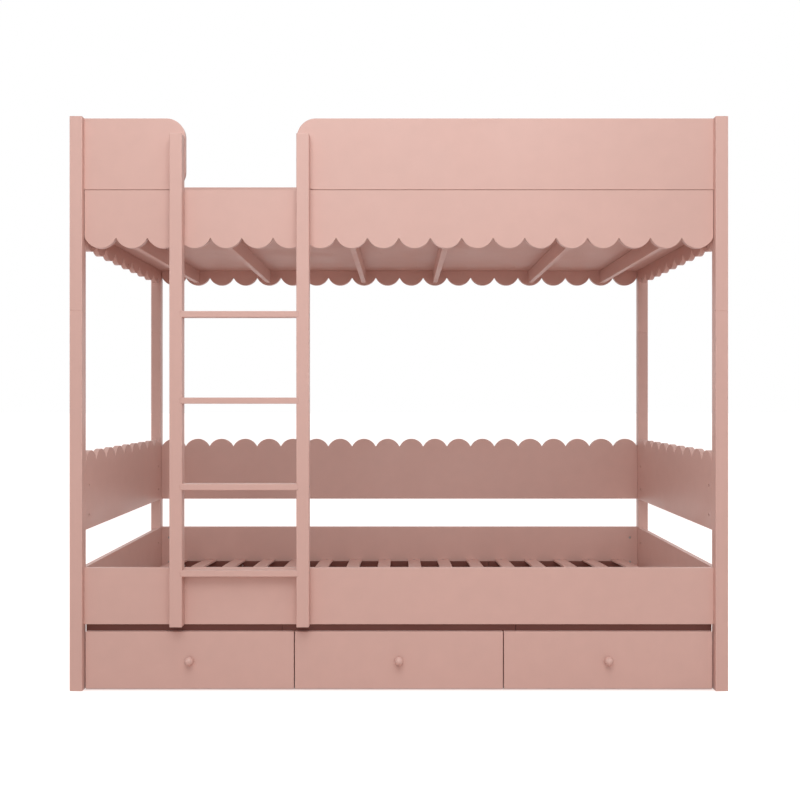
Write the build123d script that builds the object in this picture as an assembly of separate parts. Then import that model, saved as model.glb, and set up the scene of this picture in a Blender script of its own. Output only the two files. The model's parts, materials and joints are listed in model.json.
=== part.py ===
from build123d import *

import os
from dataclasses import dataclass
from math import sqrt

# Bunk bed with scalloped boards, a fixed ladder and three roll-out drawers.
# Millimetres. X runs along the bed, Y from the front to the back and Z up.
# The origin lies on the floor, at the middle of the footprint.

# Room for the two mattresses
mattress_length = 2000.0
mattress_width = 900.0
length_room = 10.0
width_room = 21.0

# Posts, each of a lower and an upper part
post_width = 40.0  # along the bed
post_depth = 36.0  # across the bed
lower_post = 1207.0  # height of the seam between the two parts
post_reveal = 2.0  # the posts stand this much above the guards
post_round = 2.0
post_end_chamfer = 0.8

# Boards between the posts, from the floor up
board = 18.0
board_ease = 1.0  # chamfer round the faces of every board, batten, ledger and slat
rail_bottom = 208.0
rail_height = 180.0
rail_gap = 119.0  # from the rails to the scalloped boards
scalloped_height = 253.0
clear_height = 649.0  # from the scalloped boards up to the valances
valance_height = 185.0
shadow_gap = 1.5  # between a valance and the posts and guards
guard_height = 227.5
guard_corner = 60.0  # rounded corners beside the ladder's opening

# Scallops along the scalloped boards and the valances
scallop_pitch = 100.5
scallop_rise = 35.0
valley_round = 2.0

# Stud and cam connectors: how far up from a board's lower edge and down from its upper edge
rail_studs = (16.0, 61.0)
scalloped_studs = (44.0, 113.0)
valance_studs = (88.0, 35.0)
guard_studs = (40.0, 47.5)
stud_stagger = 16.0  # the long boards' studs lie this much higher than the end boards'
stud_radius = 3.0
stud_bite = 22.0  # of a stud in its post
cam_offset = 31.0  # from the post to the cam's centre
cam_radius = 5.0
cam_height = 10.0
cam_slot = (6.0, 1.2, 1.5)  # length, width and depth of the driver slot
fit = 0.05  # radial clearance of studs, cams, dowels, screws and pins in their holes

# Dowels
dowel_radius = 4.0
dowel_length = 50.0
post_dowel_radius = 5.0
post_dowel_length = 80.0
post_dowel_offset = 9.0  # each side of the post's middle
guard_dowel_pitch = 420.0
guard_dowel_margin = 90.0  # from a guard's end to its first dowel
batten_dowel_bite = 10.0  # of a batten's dowel in the valance
batten_dowel_length = 40.0
batten_dowel_margin = 14.0  # from the batten's upper and lower edges

# Blind fixing holes low in the end valances
valance_hole_radius = 4.0
valance_hole_depth = 9.0
valance_hole_rise = 16.5

# Upper base on its battens
batten_width = 18.0
batten_height = 52.0
batten_rise = 8.8  # the battens' undersides above the valances' tips
batten_scallops = (1.5, 5.5, 8.5)  # scallops from the middle of the bed to each batten
base_thickness = 12.0
base_room = 1.0
vent_radius = 3.0
vent_columns = (70.0, 250.0, 472.0, 681.0)
vent_row_pitch = 344.0
base_screw_pitch = 220.0
base_screws_per_batten = 4

# Sprung slats on their ledgers
ledger_width = 20.0
ledger_height = 32.0
ledger_rise = 36.0  # the ledgers' tops above the rails' lower edges
ledger_end_room = 55.0
front_ledger_height = 66.0  # the front ledgers also close the gap above the drawer fronts
front_ledger_end_room = 1.0
ledger_joint = 375.0  # from the middle of the bed to each joint
ledger_joint_gap = 1.5
slat_width = 50.0
slat_thickness = 8.0
slat_pitch = 122.6
slat_rise = 20.0
slat_end_room = 2.0
slat_seat_room = 2.0
ledger_screw_shift = 15.0  # beside the slat's middle

# Ladder
ladder_inset = 281.0  # from the left posts to the left stile
ladder_clear = 360.5  # between the stiles
stile_width = 40.0
stile_depth = 36.0
stile_round = 2.5
stile_drop = 1.5  # below the lower rail's edge
stile_top_drop = 57.0  # below the guards' upper edges
guard_reveal = 2.0  # of the guards past the stiles, into the opening
rung_count = 4
rung_pitch = 272.8
rung_height = 19.5
rung_housing = 6.5
rung_corner = 5.0
rung_round = 1.5
rung_fit = 0.1
first_rung = 158.7  # above the rail's lower edge
ladder_bolt_radius = 3.0
ladder_bolt_bite = 24.0
ladder_bolt_head = (6.5, 3.5)  # radius and height

# Countersunk screws: head radius, shank radius, head height, length
base_screw = (4.0, 2.0, 2.6, 36.0)
slat_screw = (4.0, 2.0, 2.6, 28.0)
ledger_screw = (4.0, 2.0, 2.6, 32.0)
rung_screw = (4.5, 2.5, 3.0, 62.0)
box_screw = (4.0, 2.0, 2.6, 45.0)

# Drawers
drawer_names = ("left", "middle", "right")
drawer_gap = 3.0
drawer_side_gap = 5.5
drawer_top_gap = 23.4
drawer_lift = 2.0
drawer_setback = 17.5  # of the fronts behind the posts' front faces
drawer_front = 18.0
drawer_front_round = 1.5
drawer_length = 840.0  # of the box behind its front
box_board = 15.0
box_round = 1.0
box_inset = 10.0
box_top_drop = 12.6
box_lift = 14.0
bottom_thickness = 6.0
groove_depth = 6.0
groove_room = 0.2
front_dowel_bite = 12.0
front_dowel_length = 32.0
front_dowel_radius = 3.0
box_screw_margin = 25.0  # from the bottom panel and from the box's upper edge
knob_radius = 14.0
knob_proud = 27.0
knob_neck = 7.5
knob_screw_radius = 2.0
knob_screw_bite = 14.0
pan_head = (3.8, 2.0)  # radius and height of the knob and castor screws' heads

# Fixed castors
wheel_radius = 20.0
wheel_width = 18.0
wheel_round = 2.5
wheel_recess = 3.0
wheel_rim = 5.0
wheel_hub = 7.0
wheel_play = 0.5
wheel_room = 2.5
axle_radius = 3.0
axle_head = (5.0, 1.5)
fork_sheet = 2.5
fork_foot = 9.0  # radius of the fork's cheeks round the axle
fork_top = 30.0
plate_length = 56.0
plate_width = 44.0
castor_screw_length = 12.0
castor_screw_radius = 2.0
castor_screw_inset = 5.5
castor_setback = 45.0  # from the box's ends to its axles
castor_inset = 4.0  # from the box's sides to the castor plates

# Places that follow from these sizes
half_room = (mattress_length + length_room) / 2
half_length = half_room + post_width
room_width = mattress_width + width_room
ladder_proud = stile_depth - (post_depth - board)
footprint = ladder_proud + post_depth + room_width + board
front = ladder_proud - footprint / 2
inner_front = front + post_depth
inner_back = inner_front + room_width
back = inner_back + board
back_post = back - post_depth
middle = (inner_front + inner_back) / 2
front_line = inner_front - board / 2
back_line = inner_back + board / 2
end_line = half_room + board / 2

rail_top = rail_bottom + rail_height
scalloped_bottom = rail_top + rail_gap
valance_bottom = scalloped_bottom + scalloped_height + clear_height
valance_top = valance_bottom + valance_height
guard_bottom = valance_top + shadow_gap
guard_top = guard_bottom + guard_height
post_height = guard_top + post_reveal

X, Y, Z = Vector(1, 0, 0), Vector(0, 1, 0), Vector(0, 0, 1)
SIDES = {"left": -1, "right": 1}


# Shapes that many pieces share


def span(x, y, z):
    """A block between a low and a high value on each axis."""
    size = [high - low for low, high in (x, y, z)]
    return Pos(*[(low + high) / 2 for low, high in (x, y, z)]) * Box(*size)


def rod(radius, low, high):
    """A round bar on the Z axis."""
    return Pos(0, 0, (low + high) / 2) * Cylinder(radius, high - low)


def at(point, outward, across=None):
    """A place whose Z axis points outward."""
    return Plane(origin=point, x_dir=across, z_dir=outward).location


def screw(sizes, slack=0.0):
    """A countersunk screw down the Z axis, its head flush at the origin."""
    head, shank, head_height, length = sizes
    points = [(0, 0), (head + slack, 0), (shank + slack, -head_height)]
    points += [(shank + slack, -length - slack), (0, -length - slack)]
    return revolve(Plane.XZ * make_face(Polyline(*points, close=True)), Axis.Z)


def bolt(head, radius, length):
    """A bolt down the Z axis, its head standing on the origin."""
    return rod(head[0], 0, head[1]) + rod(radius, -length, 0)


def bounds(shape):
    """The low and the high value of a shape on each axis."""
    box = shape.bounding_box(optimal=False)
    return tuple(zip(box.min, box.max))


def hole(shape):
    """A shape to drill away, with its bounds."""
    return shape, bounds(shape)


def drilled(shape, holes):
    """A shape without those of the holes that reach it."""
    own = bounds(shape)
    near = []
    for cutter, limits in holes:
        if all(low < b_high and b_low < high for (low, high), (b_low, b_high) in zip(own, limits)):
            near.append(cutter)
    return shape - near if near else shape


def save(node, shapes):
    """Write one node's solids."""
    shapes = shapes if isinstance(shapes, list) else [shapes]
    solids = [solid for shape in shapes for solid in shape.solids()]
    export_step(Compound(solids), f"parts/{node}.step")


# Boards of the frame


@dataclass
class Board:
    """A board by its middle plane: its lower corner, its run and the way its cams face."""

    start: Vector
    run: Vector
    cams: Vector
    length: float
    height: float
    studs: tuple
    scallops: str = "none"
    end_gap: float = 0.0
    free_end: str = "none"


def scalloped_outline(length, height):
    """The face of a board from (0, 0), with scallops and rounded valleys along its top."""
    count = max(2, round(length / scallop_pitch))
    pitch = length / count
    radius = (pitch**2 / 4 + scallop_rise**2) / (2 * scallop_rise)
    centre = height - radius
    reach = radius + valley_round
    lean = pitch / 2 / reach
    dx, dy = radius * lean, radius * sqrt(1 - lean**2)
    valley = centre + sqrt(reach**2 - pitch**2 / 4) - valley_round
    end_y = height - scallop_rise
    edges = []
    for i in range(count):
        x = (i + 0.5) * pitch
        low = (0, end_y) if i == 0 else (x - dx, centre + dy)
        high = (length, end_y) if i == count - 1 else (x + dx, centre + dy)
        edges.append(ThreePointArc(low, (x, height), high))
        if i < count - 1:
            edges.append(ThreePointArc(high, (x + pitch / 2, valley), (x + pitch - dx, centre + dy)))
    edges.append(Polyline((length, end_y), (length, 0), (0, 0), (0, end_y)))
    return make_face(Curve() + edges)


def board_solid(b):
    """The solid of one board, before its holes are drilled."""
    if b.scallops == "none":
        face = Pos(b.length / 2, b.height / 2) * Rectangle(b.length, b.height)
        if b.free_end != "none":
            ends = face.vertices().group_by(Axis.X)
            corners = ends[0] if b.free_end == "first" else ends[-1]
            face = fillet(corners, min(guard_corner, b.height / 2 - board_ease))
    else:
        face = scalloped_outline(b.length, b.height)
    solid = extrude(face, board / 2, both=True)
    rims = solid.faces().filter_by(Axis.Z).edges()
    solid = chamfer(rims, board_ease)
    hanging = b.scallops == "bottom"
    origin = b.start + Z * (b.height if hanging else 0)
    return Plane(origin=origin, x_dir=b.run, z_dir=b.run.cross(-Z if hanging else Z)).location * solid


def lengthwise(row, bottom, height, studs, x=(-half_room, half_room), **more):
    """A board along the front or the back of the bed."""
    gap = more.get("end_gap", 0)
    y, cams = (front_line, Y) if row == "front" else (back_line, -Y)
    low, high = studs
    lifted = (low + stud_stagger, high - stud_stagger)
    start = Vector(x[0] + gap, y, bottom)
    return Board(start, X, cams, x[1] - x[0] - 2 * gap, height, lifted, **more)


def crosswise(side, bottom, height, studs, **more):
    """A board across one end of the bed."""
    gap = more.get("end_gap", 0)
    start = Vector(SIDES[side] * end_line, inner_front + gap, bottom)
    length = back_post - inner_front - 2 * gap
    return Board(start, Y, X * -SIDES[side], length, height, studs, **more)


stile_left = -half_room + ladder_inset
stile_right = stile_left + stile_width + ladder_clear
opening = (stile_left + stile_width + guard_reveal, stile_right - guard_reveal)

boards = {}
for row in ("front", "back"):
    boards[f"lower_rail_{row}"] = lengthwise(row, rail_bottom, rail_height, rail_studs)
for side in SIDES:
    boards[f"lower_rail_{side}"] = crosswise(side, rail_bottom, rail_height, rail_studs)

scalloped = dict(bottom=scalloped_bottom, height=scalloped_height, studs=scalloped_studs, scallops="top")
boards["scalloped_board_back"] = lengthwise("back", **scalloped)
boards["scalloped_board_back"].cams = Y
for side in SIDES:
    boards[f"scalloped_board_{side}"] = crosswise(side, **scalloped)

valance = dict(bottom=valance_bottom, height=valance_height, studs=valance_studs)
valance |= dict(scallops="bottom", end_gap=shadow_gap)
for row in ("front", "back"):
    boards[f"valance_{row}"] = lengthwise(row, **valance)
for side in SIDES:
    boards[f"valance_{side}"] = crosswise(side, **valance)

guard = dict(bottom=guard_bottom, height=guard_height, studs=guard_studs)
boards["guard_front_short"] = lengthwise("front", x=(-half_room, opening[0]), free_end="last", **guard)
boards["guard_front_long"] = lengthwise("front", x=(opening[1], half_room), free_end="first", **guard)
boards["guard_back"] = lengthwise("back", **guard)
for side in SIDES:
    boards[f"guard_{side}"] = crosswise(side, **guard)

# Every hole in the frame, gathered as its fasteners are made
holes = []


# Stud and cam connectors at the boards' ends


def connector(place):
    """A stud along X into a post, its cam and the holes for both, at one end of a board."""
    tail = Rot(0, 90, 0) * rod(stud_radius, -cam_offset, stud_bite)
    bore = Rot(0, 90, 0) * rod(stud_radius + fit, -cam_offset - stud_radius, stud_bite + fit)
    cam = Pos(-cam_offset, 0, 0) * rod(cam_radius, -cam_height / 2, cam_height / 2)
    length, width, depth = cam_slot
    slot = Pos(-cam_offset, 0, cam_height / 2) * Box(length, width, 2 * depth)
    pocket = Pos(-cam_offset, 0, 0) * rod(cam_radius + fit, -cam_height / 2, board)
    return place * tail, place * (cam - bore - slot), [hole(place * bore), hole(place * pocket)]


def connectors(b):
    """The connectors at a board's joined ends."""
    made = []
    for end, run in (("first", -b.run), ("last", b.run)):
        if b.free_end == end:
            continue
        reach = -b.end_gap if end == "first" else b.length + b.end_gap
        for height in (b.studs[0], b.height - b.studs[1]):
            point = b.start + b.run * reach + Z * height
            made.append(connector(at(point, b.cams, run)))
    return made


studs, cams = [], []
for b in boards.values():
    for stud, cam, bores in connectors(b):
        studs.append(stud)
        cams.append(cam)
        holes += bores


# Posts and their dowels


def post_part(side, y, low, high):
    """One part of a post, rounded along its length and chamfered at its ends."""
    x = sorted((side * half_room, side * half_length))
    part = span(x, (y, y + post_depth), (low, high))
    part = fillet(part.edges().filter_by(Axis.Z), post_round)
    rims = part.faces().filter_by(Axis.Z).edges()
    return chamfer(rims, post_end_chamfer)


dowels = []


def add_dowel(place, radius, low, high):
    """A dowel on the Z axis of its place, and its hole."""
    dowels.append(place * rod(radius, low, high))
    holes.append(hole(place * rod(radius + fit, low - fit, high + fit)))


posts = {}
for row, y in (("front", front), ("back", back_post)):
    for side, sign in SIDES.items():
        posts[f"post_lower_{row}_{side}"] = post_part(sign, y, 0, lower_post)
        posts[f"post_upper_{row}_{side}"] = post_part(sign, y, lower_post, post_height)
        for shift in (-post_dowel_offset, post_dowel_offset):
            x = sign * (half_room + post_width / 2) + shift
            place = Pos(x, y + post_depth / 2, lower_post)
            add_dowel(place, post_dowel_radius, -post_dowel_length / 2, post_dowel_length / 2)


# Dowels between the valances and the guards above them

for node, b in boards.items():
    if not node.startswith("guard"):
        continue
    row = b.length - 2 * guard_dowel_margin
    count = max(2, round(row / guard_dowel_pitch) + 1)
    for i in range(count):
        point = b.start + b.run * (guard_dowel_margin + row * i / (count - 1))
        half = dowel_length / 2
        add_dowel(Pos(*point) * Pos(0, 0, -shadow_gap / 2), dowel_radius, -half, half)


# Blind fixing holes in the end valances, in the first, the middle and the last scallop

for side, sign in SIDES.items():
    b = boards[f"valance_{side}"]
    count = max(2, round(b.length / scallop_pitch))
    for i in (0, (count - 1) / 2, count - 1):
        point = b.start + b.run * ((i + 0.5) * b.length / count) + Z * valance_hole_rise
        blind = rod(valance_hole_radius, board / 2 - valance_hole_depth, board)
        holes.append(hole(at(point, b.cams) * blind))


# Upper base, its battens and their dowels

batten_bottom = valance_bottom + batten_rise
base_bottom = batten_bottom + batten_height
base_top = base_bottom + base_thickness
long_count = round(2 * half_room / scallop_pitch)
batten_lines = [sign * n * 2 * half_room / long_count for n in batten_scallops for sign in (-1, 1)]

frame_screws = []


def add_screw(place, sizes):
    """A countersunk screw, and its hole."""
    frame_screws.append(place * screw(sizes))
    holes.append(hole(place * screw(sizes, fit)))


battens = []
for x in batten_lines:
    sides = (x - batten_width / 2, x + batten_width / 2)
    batten = span(sides, (inner_front, inner_back), (batten_bottom, base_bottom))
    battens.append(chamfer(batten.edges().filter_by(Axis.Y), board_ease))
    for y, outward in ((inner_front, -Y), (inner_back, Y)):
        for z in (batten_bottom + batten_dowel_margin, base_bottom - batten_dowel_margin):
            inside = batten_dowel_bite - batten_dowel_length
            add_dowel(at((x, y, z), outward), dowel_radius, inside, batten_dowel_bite)
    for i in range(base_screws_per_batten):
        y = middle + (i - (base_screws_per_batten - 1) / 2) * base_screw_pitch
        add_screw(Pos(x, y, base_top), base_screw)

base = span(
    (-half_room + base_room, half_room - base_room),
    (inner_front + base_room, inner_back - base_room),
    (base_bottom, base_top),
)
vents = [
    Pos(sign * x, middle + row * vent_row_pitch, base_bottom) * Cylinder(vent_radius, 3 * base_thickness)
    for x in vent_columns
    for sign in (-1, 1)
    for row in (-1, 0, 1)
]
base = base - vents


# Ledgers and slats of the lower bunk

ledger_top = rail_bottom + ledger_rise
half_ledger = half_room - ledger_end_room
ledger_rows = {
    "front": (inner_front, inner_front + ledger_width),
    "back": (inner_back - ledger_width, inner_back),
}


def ledger_row(row, height, end_room):
    """The three lengths of ledger along the front or the back."""
    end = half_room - end_room
    low, high = ledger_joint - ledger_joint_gap / 2, ledger_joint + ledger_joint_gap / 2
    z = (ledger_top - height, ledger_top)
    lengths = [span(x, ledger_rows[row], z) for x in ((-end, -high), (-low, low), (high, end))]
    return [chamfer(bar.edges().filter_by(Axis.X), board_ease) for bar in lengths]


ledgers = ledger_row("front", front_ledger_height, front_ledger_end_room)
ledgers += ledger_row("back", ledger_height, ledger_end_room)

slat_count = int((2 * half_ledger - slat_width) // slat_pitch) + 1
slat_lines = [(i - (slat_count - 1) / 2) * slat_pitch for i in range(slat_count)]


def slat(x):
    """An arched slat that lies flat on both ledgers."""
    half = room_width / 2 - slat_end_room
    seat = half - ledger_width - slat_seat_room
    top = slat_thickness
    edges = [
        ThreePointArc((-seat, 0), (0, slat_rise), (seat, 0)),
        Polyline((seat, 0), (half, 0), (half, top), (seat, top)),
        ThreePointArc((seat, top), (0, slat_rise + top), (-seat, top)),
        Polyline((-seat, top), (-half, top), (-half, 0), (-seat, 0)),
    ]
    strip = extrude(make_face(Curve() + edges), slat_width / 2, both=True)
    strip = chamfer(strip.faces().filter_by(Axis.Z).edges(), board_ease)
    return Plane(origin=(x, middle, ledger_top), x_dir=Y, z_dir=X).location * strip


slats = [slat(x) for x in slat_lines]
for x in slat_lines:
    for y in ledger_rows.values():
        add_screw(Pos(x, sum(y) / 2, ledger_top + slat_thickness), slat_screw)
for x in slat_lines[::2]:
    z = ledger_top - ledger_height / 2
    x += ledger_screw_shift
    add_screw(at((x, ledger_rows["front"][1], z), Y), ledger_screw)
    add_screw(at((x, ledger_rows["back"][0], z), -Y), ledger_screw)


# Ladder: stiles, rungs and their bolts and screws

ladder_front = front - ladder_proud
ladder_back = ladder_front + stile_depth
ladder_middle = (ladder_front + ladder_back) / 2
stile_bottom = rail_bottom - stile_drop
stile_top = guard_top - stile_top_drop
rung_bottoms = [rail_bottom + first_rung + i * rung_pitch for i in range(rung_count)]
rung_x = (stile_left + stile_width + stile_right) / 2


def rung_bar(z, slack):
    """A rung with rounded ends, as wide as the stiles are deep."""
    length = ladder_clear + 2 * (rung_housing + slack)
    height = rung_height + 2 * slack
    face = RectangleRounded(length, height, min(rung_corner, height / 2 - slack))
    place = Plane(origin=(rung_x, ladder_middle, z + rung_height / 2), z_dir=-Y, x_dir=X)
    return place.location * extrude(face, stile_depth / 2, both=True)


def rung(z):
    """A rung with its long edges eased."""
    bar = rung_bar(z, 0)
    return fillet(bar.edges().filter_by(Axis.X), rung_round)


def stile(x):
    """A stile, housed for the rungs."""
    bar = span((x, x + stile_width), (ladder_front, ladder_back), (stile_bottom, stile_top))
    bar = fillet(bar.edges(), stile_round)
    return bar - [rung_bar(z, rung_fit) for z in rung_bottoms]


rungs = [rung(z) for z in rung_bottoms]
stiles = {"left": stile(stile_left), "right": stile(stile_right)}

ladder_fixings = []
for x in (stile_left, stile_right):
    centre = x + stile_width / 2
    bolt_heights = (
        rail_bottom + rail_height / 2,
        valance_bottom + valance_height / 2,
        guard_bottom + (stile_top - guard_bottom) / 2,
    )
    for z in bolt_heights:
        place = at((centre, inner_front, z), Y)
        length = board + ladder_bolt_bite
        ladder_fixings.append(place * bolt(ladder_bolt_head, ladder_bolt_radius, length))
        holes.append(hole(place * rod(ladder_bolt_radius + fit, -length - fit, 0)))
    for z in rung_bottoms:
        outward = -X if x == stile_left else X
        face = x if x == stile_left else x + stile_width
        place = at((face, ladder_middle, z + rung_height / 2), outward)
        ladder_fixings.append(place * screw(rung_screw))
        holes.append(hole(place * screw(rung_screw, fit)))


# Drawers

drawer_width = (2 * (half_room - drawer_side_gap) - drawer_gap * (len(drawer_names) - 1)) / len(drawer_names)
drawer_face = front + drawer_setback
drawer_back_face = drawer_face + drawer_front
drawer_top = rail_bottom - drawer_top_gap
box_end = drawer_back_face + drawer_length
box_top = drawer_top - box_top_drop
plate_top = 2 * wheel_radius + wheel_room + fork_sheet
bottom_low = plate_top + box_board
bottom_high = bottom_low + bottom_thickness
knob_height = (drawer_lift + drawer_top) / 2
batten_run = 2 * castor_setback


def wheel():
    """A solid wheel on the X axis, with a recess round its hub on both sides."""
    half = wheel_width / 2
    disc = fillet(Cylinder(wheel_radius, wheel_width).edges(), wheel_round)
    ring = rod(wheel_radius - wheel_rim, 0, wheel_recess) - rod(wheel_hub, 0, wheel_recess)
    disc = disc - [Pos(0, 0, half - wheel_recess) * ring, Pos(0, 0, -half) * ring]
    return Rot(0, 90, 0) * (disc - Cylinder(axle_radius + fit, 2 * wheel_width))


def fork():
    """A castor's plate and cheeks, with the axle at the origin."""
    top = plate_top - wheel_radius
    half = wheel_width / 2 + wheel_play
    plate = Pos(0, 0, top - fork_sheet / 2) * Box(plate_width, plate_length, fork_sheet)
    side = Polyline((-fork_foot, 0), (-fork_top / 2, top), (fork_top / 2, top), (fork_foot, 0), close=True)
    cheek = extrude(Plane.YZ * (make_face(side) + Circle(fork_foot)), fork_sheet)
    shape = plate + Pos(half, 0, 0) * cheek + Pos(-half - fork_sheet, 0, 0) * cheek
    bore = Rot(0, 90, 0) * Cylinder(axle_radius + fit, 2 * plate_width)
    screws = [place * rod(castor_screw_radius + fit, -fork_sheet, fork_sheet) for place in castor_screw_places()]
    return shape - bore - screws


def castor_screw_places():
    """Where a castor's four screws go through its plate, from the axle."""
    x = plate_width / 2 - castor_screw_inset
    y = plate_length / 2 - castor_screw_inset
    z = plate_top - wheel_radius - fork_sheet
    return [Pos(i * x, j * y, z) for i in (-1, 1) for j in (-1, 1)]


def axle():
    """A castor's axle pin, with a head on each side of the fork."""
    half = wheel_width / 2 + wheel_play + fork_sheet
    head, thick = axle_head
    pin = rod(axle_radius, -half, half) + rod(head, half, half + thick) + rod(head, -half - thick, -half)
    return Rot(0, 90, 0) * pin


def knob():
    """A ball knob on a short neck, bored for its screw, standing out towards the front."""
    centre = knob_proud - knob_radius
    ball = Pos(0, 0, centre) * Sphere(knob_radius)
    behind = span((-knob_radius, knob_radius), (-knob_radius, knob_radius), (-knob_radius, 0))
    ball = ball - behind + rod(knob_neck, 0, centre)
    return Rot(90, 0, 0) * (ball - rod(knob_screw_radius + fit, 0, knob_screw_bite + fit))


def drawer(name, x):
    """One drawer's nodes, about the middle of its front at x."""
    holes_here, fixings = [], []
    low, high = x - drawer_width / 2 + box_inset, x + drawer_width / 2 - box_inset
    depth = (drawer_back_face, box_end)

    def fasten(place, piece, bore):
        fixings.append(place * piece)
        holes_here.append(hole(place * bore))

    front_board = span((x - drawer_width / 2, x + drawer_width / 2), (drawer_face, drawer_back_face),
                       (drawer_lift, drawer_top))
    front_board = fillet(front_board.edges(), drawer_front_round)

    inside = (low + box_board, high - box_board)
    rear = (box_end - box_board, box_end)
    axle_lines = (drawer_back_face + castor_setback, rear[0] - castor_setback)
    pieces = [
        span((low, inside[0]), depth, (box_lift, box_top)),
        span((inside[1], high), depth, (box_lift, box_top)),
        span(inside, rear, (box_lift, box_top)),
    ]
    pieces = [fillet(piece.faces().sort_by(Axis.Z)[-1].edges(), box_round) for piece in pieces]
    for y in axle_lines:
        run = (y - batten_run / 2, y + batten_run / 2)
        pieces.append(span(inside, run, (plate_top, bottom_low)))

    reach = groove_depth - groove_room
    edges_x = (inside[0] - reach, inside[1] + reach)
    edges_y = (drawer_back_face - reach, rear[0] + reach)
    bottom = span(edges_x, edges_y, (bottom_low, bottom_high))
    groove = span((inside[0] - groove_depth, inside[1] + groove_depth),
                  (drawer_back_face - groove_depth, rear[0] + groove_depth),
                  (bottom_low, bottom_high + groove_room))

    screw_heights = (bottom_high + box_screw_margin, box_top - box_screw_margin)
    for side_x, outward in ((low, -X), (high, X)):
        for z in screw_heights:
            place = at((side_x, sum(rear) / 2, z), outward)
            fasten(place, screw(box_screw), screw(box_screw, fit))
        for y in axle_lines:
            place = at((side_x, y, plate_top + box_board / 2), outward)
            fasten(place, screw(box_screw), screw(box_screw, fit))
        board_x = side_x - outward.X * box_board / 2
        for z in screw_heights:
            place = at((board_x, drawer_back_face, z), -Y)
            inner = front_dowel_bite - front_dowel_length
            fasten(place, rod(front_dowel_radius, inner, front_dowel_bite),
                   rod(front_dowel_radius + fit, inner - fit, front_dowel_bite + fit))

    knob_place = Pos(x, drawer_face, knob_height)
    knob_bolt = drawer_front + knob_screw_bite
    fasten(at((x, drawer_back_face, knob_height), Y), bolt(pan_head, knob_screw_radius, knob_bolt),
           rod(knob_screw_radius + fit, -knob_bolt - fit, 0))

    forks, wheels = [], []
    offset = box_board + castor_inset + plate_width / 2
    for y in axle_lines:
        pair = []
        for wheel_x in (low + offset, high - offset):
            place = Pos(wheel_x, y, wheel_radius)
            forks += [place * fork(), place * axle()]
            pair.append(place * wheel())
            for spot in castor_screw_places():
                fasten(place * spot * Rot(180, 0, 0),
                       bolt(pan_head, castor_screw_radius, castor_screw_length),
                       rod(castor_screw_radius + fit, -castor_screw_length - fit, 0))
        wheels.append(pair)

    grooved = holes_here + [hole(groove)]
    save(f"drawer_{name}_front", drilled(front_board, grooved))
    save(f"drawer_{name}_box", [drilled(piece, grooved) for piece in pieces[:3]]
         + [drilled(piece, holes_here) for piece in pieces[3:]])
    save(f"drawer_{name}_bottom", bottom)
    save(f"drawer_{name}_knob", knob_place * knob())
    save(f"drawer_{name}_castors", forks)
    save(f"drawer_{name}_wheels_front", wheels[0])
    save(f"drawer_{name}_wheels_rear", wheels[1])
    save(f"drawer_{name}_fixings", fixings)


# The nodes

os.makedirs("parts", exist_ok=True)
for node, part in posts.items():
    save(node, drilled(part, holes))
for node, b in boards.items():
    save(node, drilled(board_solid(b), holes))
save("connector_studs", studs)
save("connector_cams", cams)
save("frame_dowels", dowels)
save("frame_screws", frame_screws)
save("upper_base_panel", drilled(base, holes))
save("base_battens", [drilled(batten, holes) for batten in battens])
save("slat_ledgers", [drilled(ledger, holes) for ledger in ledgers])
save("bed_slats", [drilled(strip, holes) for strip in slats])
for side, bar in stiles.items():
    save(f"ladder_stile_{side}", drilled(bar, holes))
save("ladder_rungs", [drilled(bar, holes) for bar in rungs])
save("ladder_fixings", ladder_fixings)
pitch = drawer_width + drawer_gap
for i, name in enumerate(drawer_names):
    drawer(name, (i - (len(drawer_names) - 1) / 2) * pitch)
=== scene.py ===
import json
import math

import bmesh
import bpy
from mathutils import Matrix, Vector


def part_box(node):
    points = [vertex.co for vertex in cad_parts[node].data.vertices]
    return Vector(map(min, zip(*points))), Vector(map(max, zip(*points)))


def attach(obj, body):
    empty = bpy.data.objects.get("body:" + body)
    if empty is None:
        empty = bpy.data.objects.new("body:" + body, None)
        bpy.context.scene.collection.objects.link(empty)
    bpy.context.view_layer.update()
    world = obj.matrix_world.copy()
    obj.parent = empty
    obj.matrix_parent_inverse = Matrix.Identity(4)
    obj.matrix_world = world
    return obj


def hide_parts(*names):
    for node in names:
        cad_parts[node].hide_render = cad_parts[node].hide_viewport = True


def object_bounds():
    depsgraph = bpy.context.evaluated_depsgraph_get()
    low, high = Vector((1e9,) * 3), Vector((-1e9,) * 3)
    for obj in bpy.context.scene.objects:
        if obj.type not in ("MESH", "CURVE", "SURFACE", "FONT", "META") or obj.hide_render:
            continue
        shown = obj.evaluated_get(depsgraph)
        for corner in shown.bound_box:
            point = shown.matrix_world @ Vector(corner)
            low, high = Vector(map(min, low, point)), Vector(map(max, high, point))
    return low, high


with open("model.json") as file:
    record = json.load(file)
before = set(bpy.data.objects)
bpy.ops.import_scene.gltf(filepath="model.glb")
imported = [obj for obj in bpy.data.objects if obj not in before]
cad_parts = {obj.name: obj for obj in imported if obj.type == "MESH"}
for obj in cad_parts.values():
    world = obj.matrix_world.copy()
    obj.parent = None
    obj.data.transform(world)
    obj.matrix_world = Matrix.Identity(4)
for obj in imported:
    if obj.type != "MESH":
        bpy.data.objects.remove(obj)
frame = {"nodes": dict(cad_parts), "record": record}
cad_box = [list(corner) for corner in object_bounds()]
nodes = frame["nodes"]
bodies = {
    node: body
    for body, members in frame["record"]["behaviour"]["bodies"].items()
    for node in members
}
mm = 0.001

# Node trees


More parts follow.
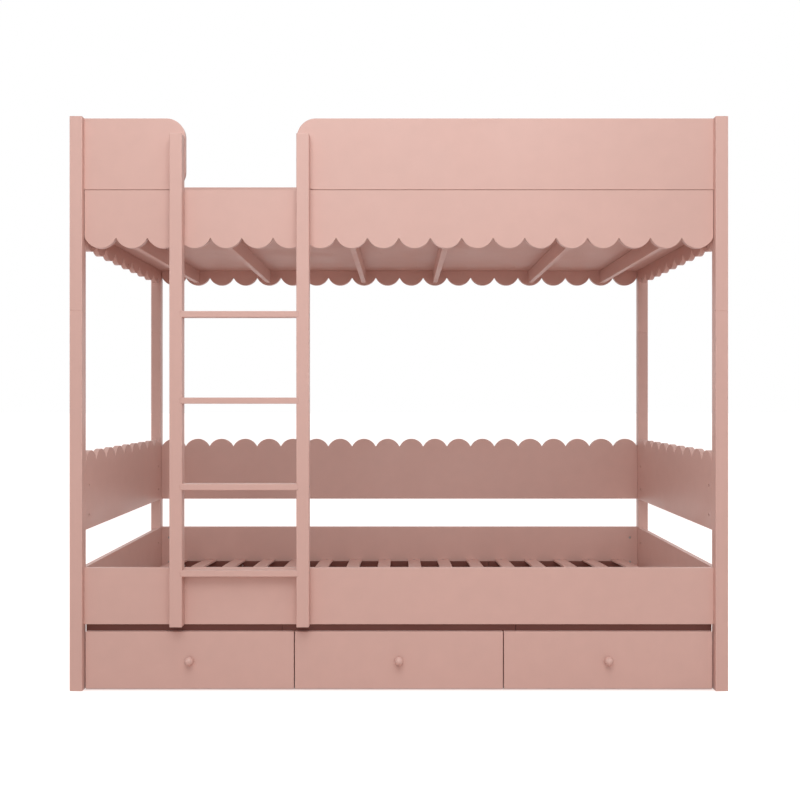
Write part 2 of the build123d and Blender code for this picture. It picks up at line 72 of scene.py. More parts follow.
class Value:
    """A node's output. Python's arithmetic on it adds Math nodes."""

    def __init__(self, tree, socket):
        self.tree = tree
        self.socket = socket

    def also(self, output):
        """Another output of the same node."""
        return Value(self.tree, self.socket.node.outputs[output])

    def maths(self, operation, *values, **settings):
        return self.tree.node("ShaderNodeMath", dict(enumerate(values)), operation=operation, **settings)

    def __add__(self, other):
        return self.maths("ADD", self, other)

    def __radd__(self, other):
        return self.maths("ADD", other, self)

    def __sub__(self, other):
        return self.maths("SUBTRACT", self, other)

    def __rsub__(self, other):
        return self.maths("SUBTRACT", other, self)

    def __mul__(self, other):
        return self.maths("MULTIPLY", self, other)

    def __rmul__(self, other):
        return self.maths("MULTIPLY", other, self)

    def __truediv__(self, other):
        return self.maths("DIVIDE", self, other)

    def __neg__(self):
        return self.maths("MULTIPLY", self, -1.0)

    def __gt__(self, other):
        return self.maths("GREATER_THAN", self, other)

    def larger(self, other):
        return self.maths("MAXIMUM", self, other)

    def root(self):
        return self.maths("SQRT", self)


class Tree:
    """A node tree. Each node comes from node(), with its type, settings and sockets' values or links."""

    def __init__(self, holder):
        self.holder = holder

    def node(self, kind, inputs=None, out=0, **settings):
        made = self.holder.nodes.new(kind)
        for setting, value in settings.items():
            setattr(made, setting, value)
        for key, given in (inputs or {}).items():
            for value in given if isinstance(given, list) else [given]:
                if isinstance(value, Value):
                    self.holder.links.new(value.socket, made.inputs[key])
                else:
                    made.inputs[key].default_value = value
        return Value(self, made.outputs[out]) if made.outputs else made


# Finishes


def shade(red, green, blue):
    """A colour as it looks on a screen, from 0 to 255, as the shader's linear colour."""
    parts = [part / 255 for part in (red, green, blue)]
    linear = [part / 12.92 if part <= 0.04045 else ((part + 0.055) / 1.055) ** 2.4 for part in parts]
    return (*linear, 1.0)


def toned(colour, amount):
    """A colour made lighter or darker."""
    return (*[min(1.0, part * amount) for part in colour[:3]], 1.0)


class Finish(Tree):
    """A material with one Principled shader."""

    def __init__(self, name):
        self.material = bpy.data.materials.new(name)
        self.material.use_nodes = True
        super().__init__(self.material.node_tree)
        self.holder.nodes.clear()
        self.place = self.node("ShaderNodeTexCoord", out="Object")

    def noise(self, scale, detail=2.0, place=None, roughness=0.5):
        """Noise about the middle value 0.5."""
        inputs = {"Vector": place or self.place, "Scale": scale, "Detail": detail, "Roughness": roughness}
        return self.node("ShaderNodeTexNoise", inputs)

    def stretched(self, scale):
        """Object coordinates, scaled on each axis."""
        return self.node("ShaderNodeMapping", {"Vector": self.place, "Scale": scale})

    def spread(self, value, low, high, to_low=0.0, to_high=1.0):
        """A value taken from one range to another."""
        inputs = {"Value": value, "From Min": low, "From Max": high, "To Min": to_low, "To Max": to_high}
        return self.node("ShaderNodeMapRange", inputs)

    def blend(self, factor, first, second):
        """Two colours mixed."""
        return self.node("ShaderNodeMix", {0: factor, 6: first, 7: second}, out=2, data_type="RGBA")

    def raised(self, height, depth):
        """A bumped normal, its full height a depth in metres."""
        return self.node("ShaderNodeBump", {"Height": height, "Distance": depth})

    def shaded(self, **inputs):
        """The Principled shader and the output."""
        names = {name.replace("_", " "): value for name, value in inputs.items()}
        shader = self.node("ShaderNodeBsdfPrincipled", names)
        self.node("ShaderNodeOutputMaterial", {"Surface": shader})
        return self.material


def seen_by_eye(tree):
    """1 for rays from the camera, and for those that reach it by reflection or through clear things."""
    path = tree.node("ShaderNodeLightPath", out="Is Camera Ray")
    return path.larger(path.also("Is Glossy Ray")).larger(path.also("Is Transmission Ray"))


with_grain = 7.0
across_grain = 260.0
ALONG = {
    "x": (with_grain, across_grain, across_grain),
    "y": (across_grain, with_grain, across_grain),
    "z": (across_grain, across_grain, with_grain),
}
peel_depth = 0.06 * mm
grain_depth = 0.11 * mm
paint_darkest = 0.965
paint_lightest = 1.03
paint_refraction = 1.46


def painted(name, colour, roughness=0.42, grain=None, peel=1.0):
    """Sprayed satin lacquer: orange peel, slow shade drift and rubbed patches.
    Over solid wood the grain shows through faintly along one axis."""
    finish = Finish(name)
    drift = finish.noise(1.6, 3.0)
    mottle = finish.noise(19.0, 4.0)
    skin = finish.noise(430.0, 3.0, roughness=0.6)
    ripple = finish.noise(95.0)
    tone = finish.spread(drift * 0.6 + mottle * 0.4, 0.32, 0.68)
    height = skin * 0.55 * peel + ripple * 0.45
    depth = peel_depth
    gloss = roughness - 0.05 + 0.10 * finish.spread(finish.noise(6.5, 5.0), 0.35, 0.65)
    if grain:
        fibre = finish.noise(1.0, 5.0, finish.stretched(ALONG[grain]), 0.65)
        tone = tone * 0.7 + 0.3 * finish.spread(fibre, 0.3, 0.7)
        height = height * 0.45 + fibre * 0.55
        depth = grain_depth
        gloss = gloss + 0.06 * (fibre - 0.5)
    colours = finish.blend(tone, toned(colour, paint_darkest), toned(colour, paint_lightest))
    normal = finish.raised(height, depth)
    return finish.shaded(Base_Color=colours, Roughness=gloss, Normal=normal, IOR=paint_refraction)


def zinc(name, colour, roughness, spangle):
    """Zinc plate: faint crystals and fine rolling lines."""
    finish = Finish(name)
    crystals = finish.node("ShaderNodeTexVoronoi", {"Vector": finish.place, "Scale": spangle})
    patches = finish.noise(spangle * 0.6, 3.0)
    lines = finish.noise(1.0, 3.0, finish.stretched((40.0, 1400.0, 1400.0)))
    tone = crystals * 0.5 + patches * 0.5
    colours = finish.blend(tone, toned(colour, 0.82), toned(colour, 1.08))
    gloss = roughness - 0.06 + 0.14 * patches + 0.05 * lines
    normal = finish.raised(lines * 0.6 + crystals * 0.4, 0.02 * mm)
    return finish.shaded(Base_Color=colours, Metallic=0.95, Roughness=gloss, Normal=normal)


def beech(name):
    """Bare beech with its short dark flecks."""
    finish = Finish(name)
    fibre = finish.noise(1.0, 5.0, finish.stretched((420.0, 420.0, 26.0)), 0.6)
    fleck = finish.spread(finish.noise(1.0, 2.0, finish.stretched((1500.0, 1500.0, 210.0))), 0.62, 0.70)
    colours = finish.blend(fibre, shade(196, 156, 112), shade(226, 194, 150))
    colours = finish.blend(fleck * 0.5, colours, shade(150, 104, 66))
    normal = finish.raised(fibre, 0.05 * mm)
    return finish.shaded(Base_Color=colours, Roughness=0.62, Normal=normal)


def moulded(name, colour):
    """Moulded nylon: fine grain, with duller and dustier patches where it rolls."""
    finish = Finish(name)
    grain = finish.noise(1100.0, 2.0)
    scuffs = finish.spread(finish.noise(90.0, 4.0), 0.45, 0.75)
    colours = finish.blend(scuffs, colour, toned(colour, 2.1))
    gloss = 0.42 + 0.2 * scuffs
    return finish.shaded(Base_Color=colours, Roughness=gloss, Normal=finish.raised(grain, 0.04 * mm))


PINK = shade(214, 176, 166)
board_paint = painted("board_paint", PINK)
post_paint = painted("post_paint", PINK, grain="z")
rung_paint = painted("rung_paint", PINK, grain="x")
batten_paint = painted("batten_paint", PINK, roughness=0.5, grain="y")
slat_paint = painted("slat_paint", shade(218, 180, 170), roughness=0.38, grain="y")
base_paint = painted("base_paint", PINK, roughness=0.55, peel=1.4)
box_paint = painted("box_paint", PINK, roughness=0.5, grain="y")
knob_paint = painted("knob_paint", PINK, roughness=0.36, peel=0.7)
fitting_zinc = zinc("fitting_zinc", shade(176, 176, 174), 0.36, 700.0)
castor_zinc = zinc("castor_zinc", shade(190, 191, 190), 0.34, 260.0)
dowel_beech = beech("dowel_beech")
wheel_nylon = moulded("wheel_nylon", shade(46, 45, 44))
# Painted shade: the slat ledgers get a dark brown-pink coat that stands in for the shadow in the recess under
# the front rail, above the drawers.
ledger_painted_shade = painted("ledger_painted_shade", shade(112, 66, 57), roughness=0.6, grain="x")

CAD_FINISHES = {
    "post_": post_paint,
    "ladder_stile": post_paint,
    "ladder_rungs": rung_paint,
    # The ledgers' dark coat is painted shade, not their own paint.
    "slat_ledgers": ledger_painted_shade,
    "base_battens": batten_paint,
    "upper_base": base_paint,
    "bed_slats": slat_paint,
    "lower_rail": board_paint,
    "scalloped_board": board_paint,
    "valance": board_paint,
    "guard": board_paint,
    "connector_": fitting_zinc,
    "frame_dowels": dowel_beech,
    "frame_screws": fitting_zinc,
    "ladder_fixings": fitting_zinc,
}
DRAWER_FINISHES = {
    "_front": board_paint,
    "_box": box_paint,
    "_bottom": base_paint,
    "_knob": knob_paint,
    "_castors": castor_zinc,
    "_wheels_front": wheel_nylon,
    "_wheels_rear": wheel_nylon,
    "_fixings": fitting_zinc,
}


def finish_of(node):
    """The finish of one CAD node."""
    if node.startswith("drawer_"):
        return next(finish for part, finish in DRAWER_FINISHES.items() if node.endswith(part))
    return next(finish for part, finish in CAD_FINISHES.items() if node.startswith(part))


for node, piece in nodes.items():
    for slot in piece.material_slots:
        slot.material = finish_of(node)

# Places read from the frame


def solids(node):
    """The corners of each separate solid of a node, as lists of points."""
    shell = bmesh.new()
    shell.from_mesh(nodes[node].data)
    bmesh.ops.remove_doubles(shell, verts=shell.verts, dist=0.001 * mm)
    left = set(shell.verts)
    found = []
    while left:
        reached = [left.pop()]
        for point in reached:
            for edge in point.link_edges:
                other = edge.other_vert(point)
                if other in left:
                    left.remove(other)
                    reached.append(other)
        found.append([point.co.copy() for point in reached])
    shell.free()
    return found


def corners(points):
    """The lowest and the highest corner of some points."""
    low = Vector([min(point[i] for point in points) for i in range(3)])
    high = Vector([max(point[i] for point in points) for i in range(3)])
    return low, high


def fastener_places(node):
    """(end of the head, outward direction, length) of each screw or bolt of a node."""
    places = []
    for points in solids(node):
        low, high = corners(points)
        size = high - low
        axis = max(range(3), key=lambda i: size[i])
        centre = (low + high) / 2
        ends = {}
        for sign, limit in ((-1, low[axis]), (1, high[axis])):
            rim = [p for p in points if abs(p[axis] - limit) < 0.1 * mm]
            ends[sign] = max((p - centre).length for p in rim)
        sign = max(ends, key=ends.get)
        outward = Vector([sign if i == axis else 0 for i in range(3)])
        places.append((centre + outward * size[axis] / 2, outward, size[axis]))
    return places


# Geometry Nodes


class Grower(Tree):
    """A Geometry Nodes tree with named sizes, which ends in Realize Instances and Set Material."""

    def __init__(self, name, sizes):
        group = bpy.data.node_groups.new(name, "GeometryNodeTree")
        super().__init__(group)
        self.group = group
        group.interface.new_socket("Geometry", in_out="INPUT", socket_type="NodeSocketGeometry")
        for label in sizes:
            group.interface.new_socket(label, in_out="INPUT", socket_type="NodeSocketFloat")
        group.interface.new_socket("Material", in_out="INPUT", socket_type="NodeSocketMaterial")
        group.interface.new_socket("Geometry", in_out="OUTPUT", socket_type="NodeSocketGeometry")

    def given(self, label):
        """One of the tree's inputs."""
        return self.node("NodeGroupInput", out=label)

    def attribute(self, label, data_type):
        """A value that each place carries."""
        return self.node("GeometryNodeInputNamedAttribute", {"Name": label}, data_type=data_type)

    def triple(self, x, y, z):
        return self.node("ShaderNodeCombineXYZ", {"X": x, "Y": y, "Z": z})

    def moved(self, geometry, **changes):
        names = {name.capitalize(): value for name, value in changes.items()}
        return self.node("GeometryNodeTransform", {"Geometry": geometry, **names})

    def cut(self, part, cutter):
        inputs = {"Mesh 1": part, "Mesh 2": cutter}
        return self.node("GeometryNodeMeshBoolean", inputs, operation="DIFFERENCE", solver="EXACT")

    def joined(self, *parts):
        return self.node("GeometryNodeJoinGeometry", {"Geometry": list(parts)})

    def repeated(self, points, part, **more):
        return self.node("GeometryNodeInstanceOnPoints", {"Points": points, "Instance": part, **more})

    def ended(self, geometry):
        """The tree's end."""
        real = self.node("GeometryNodeRealizeInstances", {"Geometry": geometry})
        inputs = {"Geometry": real, "Material": self.given("Material")}
        dressed = self.node("GeometryNodeSetMaterial", inputs)
        self.node("NodeGroupOutput", {"Geometry": dressed})
        return self.group


def grown(
    name,
    group,
    places,
    sizes,
    material,
    directions=None,
    values=None,
    turn=None,
    rounded=0.0,
    crease=35.0,
):
    """The plain mesh that a tree makes on its places, with its sharp edges rounded and turned into place."""
    source = bpy.data.meshes.new(name + "_places")
    source.from_pydata([tuple(place) for place in places], [], [])
    if directions:
        outward = source.attributes.new("outward", "FLOAT_VECTOR", "POINT")
        outward.data.foreach_set("vector", [part for way in directions for part in way])
    for label, given in (values or {}).items():
        source.attributes.new(label, "FLOAT", "POINT").data.foreach_set("value", given)
    piece = bpy.data.objects.new(name, source)
    bpy.context.scene.collection.objects.link(piece)
    maker = piece.modifiers.new(name, "NODES")
    maker.node_group = group
    for item in group.interface.items_tree:
        if item.in_out == "INPUT" and item.name in sizes:
            maker[item.identifier] = sizes[item.name]
        if item.in_out == "INPUT" and item.name == "Material":
            maker[item.identifier] = material
    if rounded:
        rounding = piece.modifiers.new("rounding", "BEVEL")
        rounding.width = rounded
        rounding.segments = 2
        rounding.limit_method = "ANGLE"
        rounding.angle_limit = math.radians(40.0)
    view = bpy.context.evaluated_depsgraph_get()
    mesh = bpy.data.meshes.new_from_object(piece.evaluated_get(view))
    if turn:
        mesh.transform(turn)
    piece.modifiers.clear()
    piece.data = mesh
    mesh.name = name
    mesh.shade_smooth()
    mesh.set_sharp_from_angle(angle=math.radians(crease))
    bpy.data.meshes.remove(source)
    return piece


def placed(piece, slot, *stood_for):
    """Puts a piece on its body, for the CAD nodes that it stands for."""
    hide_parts(*stood_for)
    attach(piece, bodies[stood_for[0]])


# Screws, cams and bolts


def fastener_tree(name, socket_shape):
    """A head with a driving recess on each place, and a shank where the place has a length."""
    labels = ["Head Radius", "Neck Radius", "Head Height", "Shank Radius", "Recess Width", "Recess Length"]
    tree = Grower(name, labels + ["Recess Depth"])
    height = tree.given("Head Height")
    cone = tree.node(
        "GeometryNodeMeshCone",
        {
            "Vertices": 28,
            "Radius Top": tree.given("Head Radius"),
            "Radius Bottom": tree.given("Neck Radius"),
            "Depth": height,
        },
    )
    head = tree.moved(cone, translation=tree.triple(0.0, 0.0, -height))
    recess = socket_shape(tree)
    head = tree.cut(head, recess)
    turn = tree.node(
        "FunctionNodeAlignRotationToVector",
        {"Vector": tree.attribute("outward", "FLOAT_VECTOR")},
        axis="Z",
    )
    points = tree.given("Geometry")
    heads = tree.repeated(points, head, Rotation=turn)
    rod = tree.node(
        "GeometryNodeMeshCylinder",
        {"Vertices": 20, "Radius": tree.given("Shank Radius"), "Depth": 1.0},
    )
    rod = tree.moved(rod, translation=(0.0, 0.0, -0.5))
    length = tree.attribute("length", "FLOAT")
    scale = tree.triple(1.0, 1.0, length)
    shanks = tree.repeated(points, rod, Rotation=turn, Selection=length > 0.0, Scale=scale)
    return tree.ended(tree.joined(heads, shanks))


def cross_recess(tree):
    """A cross of two slots."""
    width, length = tree.given("Recess Width"), tree.given("Recess Length")
    depth = tree.given("Recess Depth") * 2.0
    first = tree.node("GeometryNodeMeshCube", {"Size": tree.triple(length, width, depth)})
    second = tree.node("GeometryNodeMeshCube", {"Size": tree.triple(width, length, depth)})
    return tree.node("GeometryNodeMeshBoolean", {"Mesh 2": [first, second]}, operation="UNION", solver="EXACT")


def hexagon_recess(tree):
    """A hexagon socket."""
    depth = tree.given("Recess Depth") * 2.0
    return tree.node(
        "GeometryNodeMeshCylinder",
        {"Vertices": 6, "Radius": tree.given("Recess Length"), "Depth": depth},
    )


cross_tree = fastener_tree("cross_head_fasteners", cross_recess)
hexagon_tree = fastener_tree("hexagon_socket_bolts", hexagon_recess)
proud = 0.15 * mm


def fastened(name, tree, places, sizes, slot, material, *stood_for):
    """One mesh of heads and shanks for some places, in place of its CAD node."""
    piece = grown(
        name,
        tree,
        [end + outward * proud for end, outward, _ in places],
        {label: size * mm for label, size in sizes.items()},
        material,
        directions=[outward for _, outward, _ in places],
        values={"length": [length for _, _, length in places]},
    )
    placed(piece, slot, *stood_for)


wood_screw = {
    "Head Radius": 4.0,
    "Neck Radius": 2.0,
    "Head Height": 2.6,
    "Shank Radius": 1.9,
    "Recess Width": 0.9,
    "Recess Length": 4.2,
    "Recess Depth": 1.6,
}
fastened(
    "screws_of_base_and_slats",
    cross_tree,
    fastener_places("frame_screws"),
    wood_screw,
    "fitting_steel",
    fitting_zinc,
    "frame_screws",
)


def cam_places():
    """Each cam's outer end. The cams face into the bed, but the back scalloped board's face the wall."""
    board_low, board_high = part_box("scalloped_board_back")
    places = []
    for points in solids("connector_cams"):
        low, high = corners(points)
        centre = (low + high) / 2
        half = (high.z - low.z) / 2
        if abs(centre.x) > board_high.x:
            outward = Vector((-math.copysign(1, centre.x), 0, 0))
        elif centre.y < 0 or board_low.z < centre.z < board_high.z:
            outward = Vector((0, 1, 0))
        else:
            outward = Vector((0, -1, 0))
        places.append((centre + outward * half, outward, 0.0))
    return places


cam_sizes = {
    "Head Radius": 5.0,
    "Neck Radius": 5.0,
    "Head Height": 10.0,
    "Shank Radius": 1.0,
    "Recess Width": 1.3,
    "Recess Length": 6.4,
    "Recess Depth": 1.8,
}
cams = cam_places()
fastened("cam_locks", cross_tree, cams, cam_sizes, "fitting_steel", fitting_zinc, "connector_cams")

# Bolts and rung screws of the ladder, told apart by the way they face

ladder_places = fastener_places("ladder_fixings")
rung_screw = {**wood_screw, "Head Radius": 4.5, "Neck Radius": 2.5, "Head Height": 3.0, "Shank Radius": 2.4}
ladder_bolt = {
    "Head Radius": 5.6,
    "Neck Radius": 6.5,
    "Head Height": 3.5,
    "Shank Radius": 3.0,
    "Recess Width": 0.0,
    "Recess Length": 2.9,
    "Recess Depth": 2.2,
}
for name, tree, sizes, across in (
    ("rung_screws", cross_tree, rung_screw, True),
    ("ladder_bolts", hexagon_tree, ladder_bolt, False),
):
    places = [place for place in ladder_places if (abs(place[1].x) > 0.5) == across]
    fastened(name, tree, places, sizes, "fitting_steel", fitting_zinc, "ladder_fixings")

# Scalloped boards and valances


crest_points = 25
valley_points = 9
weld = 0.02 * mm


def board_tree():
    """A board whose upper edge is a row of scallops with rounded valleys, with a pocket at each place."""
    labels = ["Length", "Height", "Thickness", "Scallops", "Rise", "Valley Radius"]
    tree = Grower("scalloped_boards", labels)
    length, height, thickness, count, rise, valley = [tree.given(label) for label in labels]
    pitch = length / count
    radius = (pitch * pitch * 0.25 + rise * rise) / (rise * 2.0)
    reach = radius + valley
    lean = pitch * 0.5 / reach
    shift = pitch * 0.5 - radius * lean
    centre = height - radius
    meeting = centre + radius * (1.0 - lean * lean).root()
    bottom = centre + (reach * reach - pitch * pitch * 0.25).root() - valley
    shoulder = height - rise

    def arc(start, middle, end, points):
        inputs = {"Resolution": points, "Start": start, "Middle": middle, "End": end}
        return tree.node("GeometryNodeCurveArc", inputs, mode="POINTS")

    def row(number, start):
        inputs = {"Count": number, "Start Location": start, "Offset": tree.triple(pitch, 0.0, 0.0)}
        return tree.node("GeometryNodeMeshLine", inputs, mode="OFFSET")

    crest = arc(
        tree.triple(shift, meeting, 0.0),
        tree.triple(pitch * 0.5, height, 0.0),
        tree.triple(pitch - shift, meeting, 0.0),
        crest_points,
    )
    dip = arc(
        tree.triple(-shift, meeting, 0.0),
        tree.triple(0.0, bottom, 0.0),
        tree.triple(shift, meeting, 0.0),
        valley_points,
    )
    edges = [
        tree.repeated(row(count, (0.0, 0.0, 0.0)), crest),
        tree.repeated(row(count - 1.0, tree.triple(pitch, 0.0, 0.0)), dip),
    ]
    outline = [
        (shift, meeting),
        (0.0, shoulder),
        (0.0, 0.0),
        (length, 0.0),
        (length, shoulder),
        (length - shift, meeting),
    ]
    for (x, y), (next_x, next_y) in zip(outline, outline[1:]):
        inputs = {"Start": tree.triple(x, y, 0.0), "End": tree.triple(next_x, next_y, 0.0)}
        edges.append(tree.node("GeometryNodeCurvePrimitiveLine", inputs))
    rim = tree.node("GeometryNodeRealizeInstances", {"Geometry": tree.joined(*edges)})
    rim = tree.node("GeometryNodeCurveToMesh", {"Curve": rim})
    rim = tree.node("GeometryNodeMergeByDistance", {"Geometry": rim, "Distance": weld})
    rim = tree.node("GeometryNodeMeshToCurve", {"Mesh": rim})
    face = tree.node("GeometryNodeFillCurve", {"Curve": rim}, mode="NGONS")
    front = tree.node(
        "GeometryNodeExtrudeMesh",
        {"Mesh": face, "Offset": tree.triple(0.0, 0.0, thickness), "Individual": False},
        mode="FACES",
    )
    block = tree.joined(front, tree.node("GeometryNodeFlipFaces", {"Mesh": face}))
    block = tree.node("GeometryNodeMergeByDistance", {"Geometry": block, "Distance": weld})
    block = tree.moved(block, translation=tree.triple(0.0, 0.0, thickness * -0.5))
    drill = tree.node("GeometryNodeMeshCylinder", {"Vertices": 32, "Radius": 1.0, "Depth": 2.0})
    drill_radius = tree.attribute("radius", "FLOAT")
    size = tree.triple(drill_radius, drill_radius, tree.attribute("depth", "FLOAT"))
    drills = tree.repeated(tree.given("Geometry"), drill, Scale=size)
    drills = tree.node("GeometryNodeRealizeInstances", {"Geometry": drills})
    block = tree.cut(block, drills)
    return tree.ended(tree.moved(block, rotation=(math.radians(90.0), 0.0, 0.0)))


scallop_pitch = 100.5 * mm
scallop_rise = 35.0 * mm
valley_radius = 2.0 * mm
board_edge_radius = 1.2 * mm
board_crease = 12.0
pocket_radius = 5.05 * mm
pocket_depth = 14.0 * mm
blind_radius = 4.0 * mm
blind_depth = 9.0 * mm
blind_rise = 16.5 * mm
boards = board_tree()


def scalloped_board(node):
    """One scalloped board, drilled for its cams and dowels, in place of its CAD node."""
    low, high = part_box(node)
    size = high - low
    crosswise = size.x < size.y
    length = size.y if crosswise else size.x
    thickness = min(size.x, size.y)
    hanging = node.startswith("valance")
    count = round(length / scallop_pitch)
    inward = Vector((0, -math.copysign(1, low.y), 0))
    if crosswise:
        inward = Vector((-math.copysign(1, low.x), 0, 0))
    if node == "scalloped_board_back":
        inward = -inward
    up = Vector((0, 0, -1 if hanging else 1))
    run = up.cross(inward)
    middle = (low + high) / 2
    corner = middle - run * (length / 2) - up * (size.z / 2)
    drills = []
    for end, outward, _ in cams:
        away = end - corner
        if all(low[i] - mm < end[i] < high[i] + mm for i in range(3)):
            drills.append((away.dot(run), away.dot(up), pocket_radius, pocket_depth))
    if hanging and crosswise:
        for scallop in (0, (count - 1) / 2, count - 1):
            drills.append(((scallop + 0.5) * length / count, size.z - blind_rise, blind_radius, blind_depth))
    piece = grown(
        node + "_shaped",
        boards,
        [(x, y, thickness / 2) for x, y, _, _ in drills],
        {
            "Length": length,
            "Height": size.z,
            "Thickness": thickness,
            "Scallops": float(count),
            "Rise": scallop_rise,
            "Valley Radius": valley_radius,
        },
        board_paint,
        values={"radius": [drill[2] for drill in drills], "depth": [drill[3] for drill in drills]},
        turn=Matrix(
            (
                (run.x, -inward.x, up.x, corner.x),
                (run.y, -inward.y, up.y, corner.y),
                (run.z, -inward.z, up.z, corner.z),
                (0.0, 0.0, 0.0, 1.0),
            )
        ),
        rounded=board_edge_radius,
        crease=board_crease,
    )
    placed(piece, "pink_paint", node)


for node in nodes:
    if node.startswith(("scalloped_board", "valance")):
        scalloped_board(node)

# Slats of the lower bunk

slat_thickness = 8.0 * mm
slat_seat = 22.0 * mm
slat_edge_radius = 1.8 * mm
slat_spine_points = 57


def slat_tree():
    """An arched slat with rounded edges on each place."""
    tree = Grower("sprung_slats", ["Length", "Width", "Thickness", "Rise", "Seat", "Edge Radius"])
    half = tree.given("Length") * 0.5
    spine = tree.node(
        "GeometryNodeCurvePrimitiveLine",
        {"Start": tree.triple(0.0, -half, 0.0), "End": tree.triple(0.0, half, 0.0)},
    )
    spine = tree.node("GeometryNodeResampleCurve", {"Curve": spine, "Count": slat_spine_points})
    across = tree.node("ShaderNodeSeparateXYZ", {0: tree.node("GeometryNodeInputPosition")}, out="Y")
    seat, rise = half - tree.given("Seat"), tree.given("Rise")
    bend = (seat * seat + rise * rise) / (rise * 2.0)
    arch = (bend * bend - across * across).root() - (bend - rise)
    lift = tree.triple(0.0, 0.0, arch.larger(0.0) + tree.given("Thickness") * 0.5)
    spine = tree.node("GeometryNodeSetPosition", {"Geometry": spine, "Offset": lift})
    spine = tree.node("GeometryNodeSetCurveNormal", {"Curve": spine}, mode="Z_UP")
    section = tree.node(
        "GeometryNodeCurvePrimitiveQuadrilateral",
        {"Width": tree.given("Width"), "Height": tree.given("Thickness")},
    )
    section = tree.node(
        "GeometryNodeFilletCurve",
        {"Curve": section, "Count": 4, "Radius": tree.given("Edge Radius"), "Limit Radius": True},
        mode="POLY",
    )
    strip = tree.node(
        "GeometryNodeCurveToMesh", {"Curve": spine, "Profile Curve": section, "Fill Caps": True}
    )
    return tree.ended(tree.repeated(tree.given("Geometry"), strip))


slat_boxes = [corners(points) for points in solids("bed_slats")]
slat_low, slat_high = slat_boxes[0]
slats = grown(
    "sprung_slats",
    slat_tree(),
    [((low.x + high.x) / 2, (low.y + high.y) / 2, low.z) for low, high in slat_boxes],
    {
        "Length": slat_high.y - slat_low.y,
        "Width": slat_high.x - slat_low.x,
        "Thickness": slat_thickness,
        "Rise": slat_high.z - slat_low.z - slat_thickness,
        "Seat": slat_seat,
        "Edge Radius": slat_edge_radius,
    },
    slat_paint,
)
placed(slats, "pink_slats", "bed_slats")

# Turned knobs


knob_radius = 14.0 * mm
knob_arc_steps = 24
knob_turn_steps = 48
knob_crease = 40.0
collar_radius = 8.0 * mm
collar_bead_radius = 8.4 * mm
collar_bead_height = 0.5 * mm
collar_edge_height = 1.2 * mm
collar_neck_radius = 7.9 * mm
collar_height = 1.8 * mm


def turned(name, axis_point, profile):
    """A shape turned about an axis along Y, its profile as (distance towards the front, radius)."""
    shape = bmesh.new()
    rim = [shape.verts.new(axis_point + Vector((radius, -out, 0))) for out, radius in profile]
    for first, second in zip(rim, rim[1:]):
        shape.edges.new((first, second))
    bmesh.ops.spin(
        shape,
        geom=shape.verts[:] + shape.edges[:],
        cent=axis_point,
        axis=(0, 1, 0),
        angle=math.tau,
        steps=knob_turn_steps,
    )
    bmesh.ops.remove_doubles(shape, verts=shape.verts, dist=0.001 * mm)
    bmesh.ops.recalc_face_normals(shape, faces=shape.faces)
    mesh = bpy.data.meshes.new(name)
    shape.to_mesh(mesh)
    shape.free()
    mesh.shade_smooth()
    mesh.set_sharp_from_angle(angle=math.radians(knob_crease))
    piece = bpy.data.objects.new(name, mesh)
    bpy.context.scene.collection.objects.link(piece)
    return piece


collar = [
    (0.0, 0.0),
    (0.0, collar_radius),
    (collar_bead_height, collar_bead_radius),
    (collar_edge_height, collar_radius),
    (collar_height, collar_neck_radius),
]
for drawer in ("drawer_left", "drawer_middle", "drawer_right"):
    low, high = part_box(drawer + "_knob")
    centre = high.y - low.y - knob_radius
    hidden = math.asin((centre - collar_height) / knob_radius)
    ball = []
    for i in range(1, knob_arc_steps + 1):
        angle = -hidden + (math.pi / 2 + hidden) * i / knob_arc_steps
        ball.append((centre + knob_radius * math.sin(angle), max(0.0, knob_radius * math.cos(angle))))
    knob = turned(
        drawer + "_turned_knob",
        Vector(((low.x + high.x) / 2, high.y, (low.z + high.z) / 2)),
        collar + ball,
    )
    knob.data.materials.append(knob_paint)
    placed(knob, "pink_paint", drawer + "_knob")

# Floor, world, lamps and camera


floor_reach = 60.0
floor_level = -0.2 * mm
floor_colour = (0.60, 0.44, 0.40, 1.0)
floor_glow = 0.86
# The glow left under the bed, its inset from the bed's outline and its soft edge: a painted shadow on the
# floor.
painted_shadow_glow = 0.05
painted_shadow_inset_x = 70 * mm
painted_shadow_inset_y = 60 * mm
painted_shadow_blur = 50 * mm
white = (1.0, 1.0, 1.0, 1.0)


def lit_stage():
    """A floor that glows white to the eye and reflects a warm tint. Under the bed the glow is dimmed, which
    paints a shadow on the floor there.
    """
    finish = Finish("floor_white")
    spot = finish.node("ShaderNodeSeparateXYZ", {0: finish.place}, out="X")
    beyond_x = spot.maths("ABSOLUTE", spot) - (cad_box[1][0] - painted_shadow_inset_x)
    beyond_y = spot.maths("ABSOLUTE", spot.also("Y")) - (cad_box[1][1] - painted_shadow_inset_y)
    # Painted shadow: the white glow fades to almost nothing over the bed's footprint, so the floor shows dark
    # there.
    glow = seen_by_eye(finish) * finish.spread(beyond_x.larger(beyond_y), 0.0, painted_shadow_blur, painted_shadow_glow, 1.0)
    return finish.shaded(
        Base_Color=floor_colour,
        Roughness=0.9,
        Emission_Color=white,
        Emission_Strength=glow * floor_glow,
    )


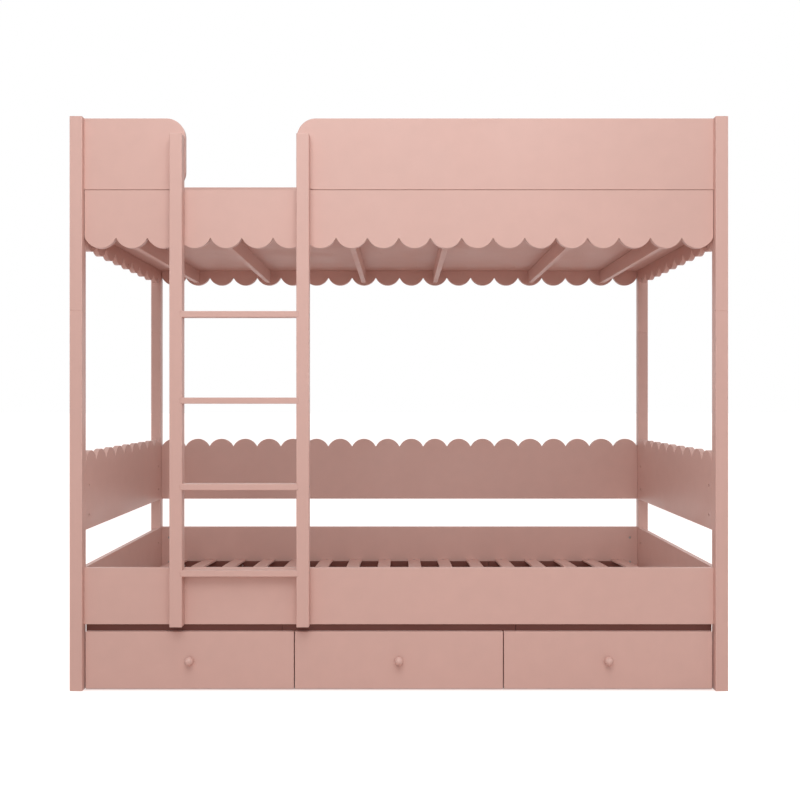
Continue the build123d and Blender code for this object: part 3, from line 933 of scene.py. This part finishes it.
floor_mesh = bpy.data.meshes.new("floor")
ring = [
    (-floor_reach, -floor_reach),
    (floor_reach, -floor_reach),
    (floor_reach, floor_reach),
    (-floor_reach, floor_reach),
]
floor_mesh.from_pydata([(x, y, floor_level) for x, y in ring], [], [(0, 1, 2, 3)])
floor_mesh.materials.append(lit_stage())
floor = bpy.data.objects.new("floor", floor_mesh)
bpy.context.scene.collection.objects.link(floor)

AMBIENT = 0.40
world = bpy.data.worlds.new("studio")
bpy.context.scene.world = world
world.use_nodes = True
studio = Tree(world.node_tree)
world.node_tree.nodes.clear()
sky_strength = AMBIENT + seen_by_eye(studio) * (1 - AMBIENT)
sky = studio.node("ShaderNodeBackground", {"Color": white, "Strength": sky_strength})
studio.node("ShaderNodeOutputWorld", {"Surface": sky})


def lamp(name, place, aim, size, power):
    """A soft square lamp."""
    light = bpy.data.lights.new(name, "AREA")
    light.shape = "RECTANGLE"
    light.size, light.size_y = size
    light.energy = power
    stand = bpy.data.objects.new(name, light)
    stand.location = place
    stand.rotation_euler = (Vector(aim) - Vector(place)).to_track_quat("-Z", "Y").to_euler()
    stand.visible_camera = False
    bpy.context.scene.collection.objects.link(stand)


lamp("key", place=(0.0, -3.4, 3.3), aim=(0.0, -0.3, 1.3), size=(3.2, 1.6), power=52.0)
lamp("front", place=(0.0, -4.6, 1.4), aim=(0.0, 0.0, 1.0), size=(2.5, 2.0), power=22.0)
lamp("steep", place=(0.0, -2.2, 4.6), aim=(0.0, -0.3, 0.8), size=(3.0, 2.0), power=44.0)
for side in (-1, 1):
    lamp("side", place=(side * 3.6, 0.2, 1.3), aim=(0.0, 0.0, 0.9), size=(1.8, 1.8), power=28.0)

picture_width = 800
picture_shift_right = -1.4
picture_shift_up = 0.22

camera = bpy.data.objects.new("camera", bpy.data.cameras.new("camera"))
camera.location = (0.008, -3.3585, 0.9233)
camera.rotation_euler = (math.radians(90.0), 0.0, 0.0)
camera.data.sensor_width = 36.0
camera.data.lens = 40.86
camera.data.shift_x = picture_shift_right / picture_width
camera.data.shift_y = picture_shift_up / picture_width
camera.data.clip_end = 200.0
bpy.context.scene.collection.objects.link(camera)
bpy.context.scene.camera = camera

bpy.context.scene.view_settings.view_transform = "Standard"
